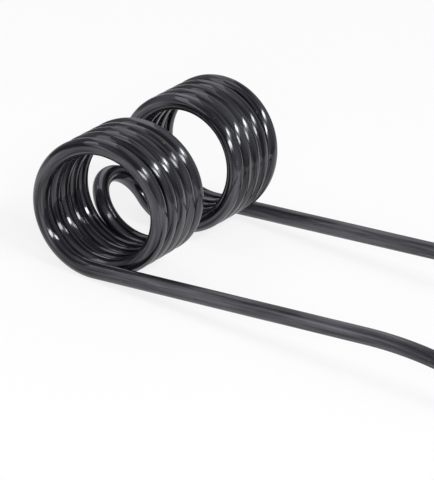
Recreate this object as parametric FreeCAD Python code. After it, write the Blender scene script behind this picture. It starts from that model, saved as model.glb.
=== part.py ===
"""Double-coil pickup tine: one length of round spring wire, mirrored about the plane y = 0.

From one tip to the other the wire runs: straight tip, gentle bend, straight arm, close-wound
coil, a tighter lead into the loop, the loop's half ring, and then the same again, reversed.
The half at y < 0 is drawn about the coil's axis with its arm level, as a row of cross-sections.
The finished tine is turned about that axis until it stands on its two coils and its two tips.
"""

import FreeCAD, Part
import math
import os
from collections import namedtuple

# The wire. Flat sides and short straight pieces stand for its curves, so that the long wire
# stays light.
wire_diameter = 5.5
end_chamfer = 0.6  # broken edge of the two cut ends
section_sides = 16
flatness = 0.15  # how far a straight piece may leave the true bend

# The two coils
coil_mean_diameter = 41.4  # measured to the middle of the wire
turn_gap = 0.12  # clear space between neighbouring turns
wound_turns = 4.855  # from the arm to the lead
crossing_turns = 0.2  # part of a turn in which the lead still travels along the axis
flattening = 0.08  # part of a turn in which the pitch builds up, and dies away again
arm_gap = 0.5  # extra space between the arm and the turn beside it
coil_lean = 1.0  # how far the coil's top leans outwards
outer_turn_gap = 1.4  # how much further the outermost turn stands off, half way round

# The loop between the coils, which a bolt holds to the tine bar
loop_radius = 11.7  # of the half ring, to the middle of the wire
lead_radius = 18.0  # of the arc that leads from each coil to the loop
lead_angle = 103.0  # degrees

# The two arms
arm_length = 97.2  # from the coil's axis to the start of the bend
bend_radius = 124.0
bend_angle = 27.0  # degrees
tip_length = 14.0  # straight wire beyond the bend

wire_radius = wire_diameter / 2
coil_radius = coil_mean_diameter / 2
turn_pitch = wire_diameter + turn_gap

# A place on the wire: its middle, the way it runs there, and the way out from its bend.
Station = namedtuple("Station", "middle ahead outward")
ALONG_AXIS = FreeCAD.Vector(0, 1, 0)
UP = FreeCAD.Vector(0, 0, 1)


def outward(heading):
    """Out from the coil's axis: down at heading 0, then round past -X."""
    return FreeCAD.Vector(-math.sin(heading), 0, -math.cos(heading))


def onward(heading):
    """The way the wire runs at that heading: towards -X at heading 0, then up and round."""
    return FreeCAD.Vector(-math.cos(heading), 0, math.sin(heading))


def fractions(count):
    """From 0 to 1 in this many equal steps."""
    return [step / count for step in range(count + 1)]


def arc_steps(radius, angle):
    """From 0 to 1 in equal steps, short enough for an arc of this radius and angle."""
    longest = 2 * math.acos(1 - flatness / radius)
    return fractions(math.ceil(angle / longest))


def wound_advance(turn):
    """Pitches travelled along the axis after this many turns, with a flat start and end."""
    axial_turns = wound_turns + crossing_turns
    left = max(axial_turns - turn, 0)
    if turn < flattening:
        return turn**2 / (2 * flattening)
    if left < flattening:
        return axial_turns - flattening - left**2 / (2 * flattening)
    return turn - flattening / 2


def stand_off(turn):
    """How far the wire is pushed outwards: by the coil's lean, and more in its outermost turn."""
    top_share = math.sin(math.pi * turn) ** 2
    if turn > 1:
        return coil_lean * top_share
    return (coil_lean + outer_turn_gap) * top_share + arm_gap * math.cos(math.pi * turn / 2) ** 2


def wound_point(turn):
    """Middle of the wire after this many turns from the arm, round the coil and then the lead."""
    y = turn_pitch * wound_advance(turn) - stand_off(turn)
    spoke = outward(2 * math.pi * turn)
    if turn <= wound_turns:
        return spoke * coil_radius + ALONG_AXIS * y
    lead_centre = outward(2 * math.pi * wound_turns) * (coil_radius - lead_radius)
    return lead_centre + spoke * lead_radius + ALONG_AXIS * y


def arm_stations():
    """Cut end of the tip, far end of the bend, and round the bend to the arm."""
    bend_start = wound_point(0) - onward(0) * arm_length
    bend_centre = bend_start - UP * bend_radius
    bend = []
    for part in arc_steps(bend_radius, math.radians(bend_angle)):
        heading = math.radians(bend_angle) * (1 - part)
        middle = bend_centre - outward(heading) * bend_radius
        bend.append(Station(middle, onward(heading), outward(heading)))
    first = bend[0]
    tip = first._replace(middle=first.middle - first.ahead * tip_length)
    chamfer_end = tip._replace(middle=tip.middle + tip.ahead * end_chamfer)
    return [tip, chamfer_end] + bend


def wound_stations(first_turn, last_turn, radius):
    """Along the wound wire between two counts of turns from the arm."""
    turns = last_turn - first_turn
    parts = arc_steps(radius, 2 * math.pi * turns)
    half_step = turns * parts[1] / 2
    stations = []
    for part in parts:
        turn = first_turn + turns * part
        ahead = wound_point(turn + half_step) - wound_point(turn - half_step)
        spoke = outward(2 * math.pi * turn)
        stations.append(Station(wound_point(turn), ahead.normalize(), spoke))
    return stations


def loop_stations(leg):
    """Quarter ring from the leg to the middle plane."""
    stations = []
    for part in arc_steps(loop_radius, math.pi / 2)[1:]:
        angle = math.pi / 2 * part
        along_leg = leg.ahead * math.sin(angle)
        inward = ALONG_AXIS * (1 - math.cos(angle))
        middle = leg.middle + (along_leg + inward) * loop_radius
        ahead = leg.ahead * math.cos(angle) + ALONG_AXIS * math.sin(angle)
        stations.append(Station(middle, ahead.normalize(), leg.outward))
    return stations


def mirrored(station):
    """The same place on the other half, where the wire is followed the other way."""

    def across(vector):
        return FreeCAD.Vector(vector.x, -vector.y, vector.z)

    return Station(across(station.middle), across(station.ahead) * -1, across(station.outward))


def section(station, radius):
    """Outline of the wire there, with one corner on the outer side of the bend."""
    sideways = station.ahead.cross(station.outward)
    corners = []
    for part in fractions(section_sides):
        angle = 2 * math.pi * part
        spoke = station.outward * math.cos(angle) + sideways * math.sin(angle)
        corners.append(station.middle + spoke * radius)
    return Part.makePolygon(corners)


lead_turns = lead_angle / 360
half_wire = arm_stations() + wound_stations(0, wound_turns, coil_radius)
half_wire += wound_stations(wound_turns, wound_turns + lead_turns, lead_radius)[1:]
half_wire += loop_stations(leg=half_wire[-1])
to_middle_plane = ALONG_AXIS * -half_wire[-1].middle.y
half_wire = [station._replace(middle=station.middle + to_middle_plane) for station in half_wire]
whole_wire = half_wire + [mirrored(station) for station in reversed(half_wire[:-1])]

cut_end_radius = wire_radius - end_chamfer
sections = [section(whole_wire[0], cut_end_radius)]
sections += [section(station, wire_radius) for station in whole_wire[1:-1]]
sections.append(section(whole_wire[-1], cut_end_radius))
tine = Part.makeLoft(sections, True, True)

# Turned about the coils' axis until the tips, just behind their chamfers, are as low as the coils
foot = half_wire[1]
foot_edge = foot.middle + foot.outward * wire_radius
foot_reach = math.hypot(foot_edge.x, foot_edge.z)
lowest = coil_radius + wire_radius
tilt = math.asin(-lowest / foot_reach) - math.atan2(foot_edge.z, foot_edge.x)
tine.rotate(FreeCAD.Vector(), ALONG_AXIS, -math.degrees(tilt))

box = tine.optimalBoundingBox(False, False)
tine.translate(FreeCAD.Vector(-box.Center.x, 0, -box.ZMin))

os.makedirs("parts", exist_ok=True)
tine.exportStep("parts/pickup_tine.step")
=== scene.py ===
"""Black painted pickup tine on a pale floor, seen as in the photograph.

The solid's flat-sided wire is followed from cut to cut and drawn again as smooth round wire.
Lengths are in metres.
"""

import math

import bmesh
import bpy
from mathutils import Matrix, Vector


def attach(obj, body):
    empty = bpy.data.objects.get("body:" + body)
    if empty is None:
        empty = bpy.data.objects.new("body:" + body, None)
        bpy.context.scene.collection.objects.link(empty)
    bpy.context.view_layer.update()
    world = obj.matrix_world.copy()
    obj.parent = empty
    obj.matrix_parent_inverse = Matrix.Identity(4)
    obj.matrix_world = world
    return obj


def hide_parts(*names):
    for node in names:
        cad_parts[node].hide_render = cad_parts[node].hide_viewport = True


# Round wire
ROUND_SIDES = 32
RING_SPACING = 0.0009  # along the wire
SAME_CORNER = 1e-5  # corners closer than this are one
FLAT_EDGE = 1e-3  # radians: an edge that bends less lies within a flat face
SHARP_EDGE = math.radians(30)

# Paint
DARK_PAINT = (0.004, 0.004, 0.005, 1)
LIGHT_PAINT = (0.030, 0.030, 0.038, 1)
# Lighter paint on the arms near the cut ends: partly rubbed paint, partly a painted sheen that lightens the
# arms
RUBBED_PAINT_AND_SHEEN = (0.075, 0.075, 0.083, 1)
SPECK_PAINT = (0.07, 0.07, 0.08, 1)
SHEEN_TINT = (0.93, 0.94, 1, 1)
RUBBED_AND_SHEEN_LENGTH = 0.12  # from each cut end, along the wire
RUBBED_AND_SHEEN_FADE = 0.06  # the further length over which the rubbing and the painted sheen die away
MARK_DEPTH = 0.0002  # of the flow marks and the drawing lines

# Floor and surroundings
FLOOR_HALF_WIDTH = 6.0
FLOOR_COLOUR = (0.95, 0.95, 0.95, 1)
FLOOR_WHITE = 0.8  # share of plain white in the floor as it is seen
WORLD_COLOUR = (0.34, 0.34, 0.37, 1)
LIT_PLACE = Vector((-0.05, 0, 0.02))  # what the lamps face

# Camera, from the photograph
AZIMUTH = math.radians(25.70)  # 0 looks along +Y
ELEVATION = math.radians(23.52)
ROLL = math.radians(9.07)
PHOTO_HEIGHT = 480  # pixels
FOCAL_LENGTH = 4087.8  # pixels
SENSOR = 36.0  # millimetres
ORIGIN_AHEAD = 1.30845  # the frame's origin from the camera, along its view
ORIGIN_RIGHT = 0.041275
ORIGIN_UP = -0.023077

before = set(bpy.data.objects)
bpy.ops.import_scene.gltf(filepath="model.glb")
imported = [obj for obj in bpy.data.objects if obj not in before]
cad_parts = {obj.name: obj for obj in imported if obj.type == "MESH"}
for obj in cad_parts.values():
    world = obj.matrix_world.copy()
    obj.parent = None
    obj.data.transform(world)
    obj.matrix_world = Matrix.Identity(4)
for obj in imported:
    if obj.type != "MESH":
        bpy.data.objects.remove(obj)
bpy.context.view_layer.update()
cad_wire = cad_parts["pickup_tine"]


def new_object(name, data):
    made = bpy.data.objects.new(name, data)
    bpy.context.scene.collection.objects.link(made)
    return made


# The wire


def solid_rings(mesh):
    """The solid's cross-sections in order, from one cut end to the other, as lists of corners."""
    shape = bmesh.new()
    shape.from_mesh(mesh)
    bmesh.ops.remove_doubles(shape, verts=shape.verts, dist=SAME_CORNER)
    bmesh.ops.dissolve_limit(shape, angle_limit=FLAT_EDGE, verts=shape.verts, edges=shape.edges)
    cut_end = max(shape.faces, key=lambda face: (len(face.verts), -face.calc_center_median().y))
    ring = set(cut_end.verts)
    seen = set()
    rings = []
    while ring:
        rings.append([corner.co.copy() for corner in ring])
        seen |= ring
        ring = {edge.other_vert(corner) for corner in ring for edge in corner.link_edges} - seen
    shape.free()
    return rings


def middle_of(ring):
    return sum(ring, Vector()) / len(ring)


def square_to(ring, onward):
    """Direction square to a cross-section, on the side that onward points to."""
    middle = middle_of(ring)
    spoke = ring[0] - middle
    square = max((spoke.cross(corner - middle) for corner in ring), key=lambda cross: cross.length)
    square = square.normalized()
    return square if square.dot(onward) > 0 else -square


def smooth_path(rings):
    """Middle, direction and radius of the wire at close steps along it."""
    middles = [middle_of(ring) for ring in rings]
    radii = [(ring[0] - middle).length for ring, middle in zip(rings, middles)]
    last = len(rings) - 1
    ways = []
    for i, ring in enumerate(rings):
        onward = middles[min(i + 1, last)] - middles[max(i - 1, 0)]
        ways.append(square_to(ring, onward))
    path = [(middles[0], ways[0], radii[0])]
    for i in range(last):
        chord = (middles[i + 1] - middles[i]).length
        turn = ways[i].angle(ways[i + 1], 0.0)
        pull = chord / math.cos(turn / 4) ** 2  # makes the cubic follow a circular bend
        steps = max(1, math.ceil(chord / RING_SPACING))
        for step in range(1, steps + 1):
            t = step / steps
            middle = (
                middles[i] * (2 * t**3 - 3 * t**2 + 1)
                + ways[i] * pull * (t**3 - 2 * t**2 + t)
                + middles[i + 1] * (3 * t**2 - 2 * t**3)
                + ways[i + 1] * pull * (t**3 - t**2)
            )
            way = (
                middles[i] * (6 * t**2 - 6 * t)
                + ways[i] * pull * (3 * t**2 - 4 * t + 1)
                + middles[i + 1] * (6 * t - 6 * t**2)
                + ways[i + 1] * pull * (3 * t**2 - 2 * t)
            )
            radius = radii[i] * (1 - t) + radii[i + 1] * t
            path.append((middle, way.normalized(), radius))
    return path


def round_wire(path):
    """Tube round the path.

    Its grain attribute is each point's place on the wire laid out straight, and its from_cut
    attribute how far along the wire the nearer cut end is.
    """
    shape = bmesh.new()
    grain = shape.verts.layers.float_vector.new("grain")
    from_cut = shape.verts.layers.float.new("from_cut")
    last_middle, last_way, _ = path[0]
    last_ring = None
    spoke = last_way.orthogonal().normalized()
    travelled = 0.0
    for middle, way, radius in path:
        travelled += (middle - last_middle).length
        spoke = last_way.rotation_difference(way) @ spoke
        spoke = (spoke - way * spoke.dot(way)).normalized()
        side = way.cross(spoke)
        ring = []
        for i in range(ROUND_SIDES):
            angle = 2 * math.pi * i / ROUND_SIDES
            corner = shape.verts.new(middle + (spoke * math.cos(angle) + side * math.sin(angle)) * radius)
            corner[grain] = (travelled, math.cos(angle) * radius, math.sin(angle) * radius)
            ring.append(corner)
        if last_ring:
            for i in range(ROUND_SIDES):
                j = (i + 1) % ROUND_SIDES
                shape.faces.new((last_ring[i], last_ring[j], ring[j], ring[i]))
        else:
            shape.faces.new(reversed(ring))
        last_middle, last_way, last_ring = middle, way, ring
    shape.faces.new(last_ring)
    for corner in shape.verts:
        corner[from_cut] = min(corner[grain].x, travelled - corner[grain].x)
    for face in shape.faces:
        face.smooth = True
    mesh = bpy.data.meshes.new("wire")
    shape.to_mesh(mesh)
    shape.free()
    mesh.set_sharp_from_angle(angle=SHARP_EDGE)
    return mesh


wire = new_object("wire", round_wire(smooth_path(solid_rings(cad_wire.data))))
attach(wire, "root")
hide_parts("pickup_tine")


# Materials


def new_material(name):
    material = bpy.data.materials.new(name)
    material.use_nodes = True
    return material, material.node_tree


def attribute(tree, name):
    made = tree.nodes.new("ShaderNodeAttribute")
    made.attribute_name = name
    return made


def noise(tree, place, scales, detail, roughness=0.5):
    """Noise at these scales, per metre along the wire and in the two ways across it."""
    stretched = tree.nodes.new("ShaderNodeMapping")
    stretched.inputs["Scale"].default_value = scales
    tree.links.new(place, stretched.inputs["Vector"])
    made = tree.nodes.new("ShaderNodeTexNoise")
    made.inputs["Scale"].default_value = 1.0
    made.inputs["Detail"].default_value = detail
    made.inputs["Roughness"].default_value = roughness
    tree.links.new(stretched.outputs["Vector"], made.inputs["Vector"])
    return made.outputs["Fac"]


def ranged(tree, value, low, high, to_low, to_high):
    made = tree.nodes.new("ShaderNodeMapRange")
    made.inputs["From Min"].default_value = low
    made.inputs["From Max"].default_value = high
    made.inputs["To Min"].default_value = to_low
    made.inputs["To Max"].default_value = to_high
    tree.links.new(value, made.inputs["Value"])
    return made.outputs["Result"]


def combined(tree, operation, *values):
    """Result of the operation on varying values and plain numbers."""
    made = tree.nodes.new("ShaderNodeMath")
    made.operation = operation
    for value, socket in zip(values, made.inputs):
        if isinstance(value, float):
            socket.default_value = value
        else:
            tree.links.new(value, socket)
    return made.outputs["Value"]


def blended(tree, share, colour, other):
    """The varying colour, with this share of another that is the same everywhere."""
    made = tree.nodes.new("ShaderNodeMix")
    made.data_type = "RGBA"
    made.inputs["B"].default_value = other
    tree.links.new(share, made.inputs["Factor"])
    tree.links.new(colour, made.inputs["A"])
    return made.outputs["Result"]


def black_paint():
    """Glossy black paint over drawn wire, with streaks, flow marks and specks, and lighter on the arms near
    the cut ends: rubbed paint there, with a painted sheen.
    """
    material, tree = new_material("black_paint")
    paint = tree.nodes["Principled BSDF"].inputs
    place = attribute(tree, "grain").outputs["Vector"]
    from_cut = attribute(tree, "from_cut").outputs["Fac"]
    grazing = tree.nodes.new("ShaderNodeLayerWeight").outputs["Facing"]
    streaks = noise(tree, place, (55, 800, 800), 2.0)
    flow = noise(tree, place, (55, 380, 380), 2.0, 0.4)
    patches = noise(tree, place, (90, 160, 160), 3.0, 0.6)
    fine = noise(tree, place, (900, 3000, 3000), 2.0)
    die_lines = noise(tree, place, (14, 1050, 1050), 1.0)
    wear_and_sheen = noise(tree, place, (25, 420, 420), 3.0, 0.6)
    specks = noise(tree, place, (500, 900, 900), 2.0)
    rubbed_and_sheen_end = RUBBED_AND_SHEEN_LENGTH + RUBBED_AND_SHEEN_FADE

    tint = tree.nodes.new("ShaderNodeValToRGB")
    dark, light = tint.color_ramp.elements
    dark.position, dark.color = 0.4, DARK_PAINT
    light.position, light.color = 0.72, LIGHT_PAINT
    tree.links.new(streaks, tint.inputs["Fac"])
    # Lighter near the cut ends, in patches: rubbed paint and a painted sheen along the arms
    rubbed_and_sheen = combined(
        tree,
        "MULTIPLY",
        ranged(tree, wear_and_sheen, 0.4, 0.65, 0.2, 1),
        ranged(tree, from_cut, RUBBED_AND_SHEEN_LENGTH, rubbed_and_sheen_end, 1, 0),
    )
    colour = blended(tree, rubbed_and_sheen, tint.outputs["Color"], RUBBED_PAINT_AND_SHEEN)
    colour = blended(tree, ranged(tree, specks, 0.72, 0.78, 0, 1), colour, SPECK_PAINT)
    tree.links.new(colour, paint["Base Color"])

    roughness = combined(
        tree,
        "ADD",
        ranged(tree, patches, 0.35, 0.65, 0.06, 0.17),
        ranged(tree, fine, 0.3, 0.7, -0.02, 0.02),
    )
    tree.links.new(roughness, paint["Roughness"])

    gloss = combined(
        tree,
        "MULTIPLY",
        ranged(tree, grazing, 0.4, 0.8, 1, 0.3),
        ranged(tree, from_cut, RUBBED_AND_SHEEN_LENGTH, rubbed_and_sheen_end, 0.55, 1),
    )
    shine = combined(tree, "MULTIPLY", ranged(tree, streaks, 0.35, 0.65, 0.25, 0.95), gloss)
    tree.links.new(shine, paint["Specular IOR Level"])
    paint["Specular Tint"].default_value = SHEEN_TINT
    tree.links.new(ranged(tree, gloss, 0, 1, 0, 0.3), paint["Coat Weight"])
    paint["Coat Roughness"].default_value = 0.08
    paint["Coat IOR"].default_value = 1.5

    bump = tree.nodes.new("ShaderNodeBump")
    bump.inputs["Strength"].default_value = 0.6
    bump.inputs["Distance"].default_value = MARK_DEPTH
    tree.links.new(combined(tree, "MULTIPLY_ADD", die_lines, 0.5, flow), bump.inputs["Height"])
    tree.links.new(bump.outputs["Normal"], paint["Normal"])
    tree.links.new(bump.outputs["Normal"], paint["Coat Normal"])
    return material


def pale_floor():
    """Pale floor that is lit like any other, and nearly white where it is seen or reflected."""
    material, tree = new_material("pale_floor")
    lit = tree.nodes["Principled BSDF"]
    lit.inputs["Base Color"].default_value = FLOOR_COLOUR
    lit.inputs["Roughness"].default_value = 0.8
    lit.inputs["Specular IOR Level"].default_value = 0.0
    white = tree.nodes.new("ShaderNodeEmission")
    ray = tree.nodes.new("ShaderNodeLightPath").outputs
    seen = combined(tree, "MAXIMUM", ray["Is Camera Ray"], ray["Is Glossy Ray"])
    seen = combined(tree, "MAXIMUM", seen, ray["Is Transmission Ray"])
    mix = tree.nodes.new("ShaderNodeMixShader")
    tree.links.new(combined(tree, "MULTIPLY", seen, FLOOR_WHITE), mix.inputs["Fac"])
    tree.links.new(lit.outputs["BSDF"], mix.inputs[1])
    tree.links.new(white.outputs["Emission"], mix.inputs[2])
    tree.links.new(mix.outputs["Shader"], tree.nodes["Material Output"].inputs["Surface"])
    return material


wire.data.materials.append(black_paint())


# Floor, light and camera

floor_corners = []
for x, y in ((-1, -1), (1, -1), (1, 1), (-1, 1)):
    floor_corners.append((x * FLOOR_HALF_WIDTH, y * FLOOR_HALF_WIDTH, 0))
floor_mesh = bpy.data.meshes.new("floor")
floor_mesh.from_pydata(floor_corners, [], [(0, 1, 2, 3)])
floor_mesh.materials.append(pale_floor())
floor = new_object("floor", floor_mesh)

world = bpy.data.worlds.new("studio")
world.use_nodes = True
world.node_tree.nodes["Background"].inputs["Color"].default_value = WORLD_COLOUR
bpy.context.scene.world = world


def toward(turn, sideways):
    """Direction, in degrees: turned from straight up towards +X, then leant towards +Y."""
    turn, sideways = math.radians(turn), math.radians(sideways)
    flat = math.cos(sideways)
    return Vector((math.sin(turn) * flat, math.sin(sideways), math.cos(turn) * flat))


def strip_lamp(name, front_end, back_end, width, level):
    """Long soft box between two points, facing the tine. Its level is its own brightness."""
    along = (back_end - front_end).normalized()
    middle = (front_end + back_end) / 2
    facing_away = middle - LIT_PLACE
    facing_away = (facing_away - along * facing_away.dot(along)).normalized()
    data = bpy.data.lights.new(name, "AREA")
    data.shape = "RECTANGLE"
    data.size, data.size_y = (back_end - front_end).length, width
    data.energy = level * math.pi * data.size * data.size_y
    lamp = new_object(name, data)
    turned = Matrix((along, facing_away.cross(along), facing_away)).transposed().to_4x4()
    lamp.matrix_world = Matrix.Translation(middle) @ turned


strip_lamp("front_lamp", toward(42, -71) * 1.8, toward(47, -40) * 1.5, width=0.21, level=15.5)
strip_lamp("right_lamp", toward(38, -21) * 1.5, toward(34, 7) * 1.4, width=0.18, level=15.5)
strip_lamp("right_glow", toward(58, -74) * 2.8, toward(34, 24) * 1.6, width=0.3, level=1.9)
strip_lamp("left_lamp", toward(-76, -74) * 2.4, toward(-40, -8) * 1.3, width=0.34, level=1.2)
strip_lamp("top_lamp", toward(-14, -12) * 1.5, toward(-56, 52) * 1.5, width=0.5, level=0.75)

right = Vector((math.cos(AZIMUTH), math.sin(AZIMUTH), 0))
ahead = Vector(
    (-math.sin(AZIMUTH) * math.cos(ELEVATION), math.cos(AZIMUTH) * math.cos(ELEVATION), -math.sin(ELEVATION))
)
up = right.cross(ahead)
rolled_right = right * math.cos(ROLL) + up * math.sin(ROLL)
rolled_up = up * math.cos(ROLL) - right * math.sin(ROLL)
camera_data = bpy.data.cameras.new("camera")
camera_data.sensor_width = SENSOR
camera_data.lens = FOCAL_LENGTH / PHOTO_HEIGHT * SENSOR
camera = new_object("camera", camera_data)
camera_place = -(rolled_right * ORIGIN_RIGHT + rolled_up * ORIGIN_UP + ahead * ORIGIN_AHEAD)
turned = Matrix((rolled_right, rolled_up, -ahead)).transposed().to_4x4()
camera.matrix_world = Matrix.Translation(camera_place) @ turned
bpy.context.scene.camera = camera

bpy.context.scene.view_settings.view_transform = "Standard"
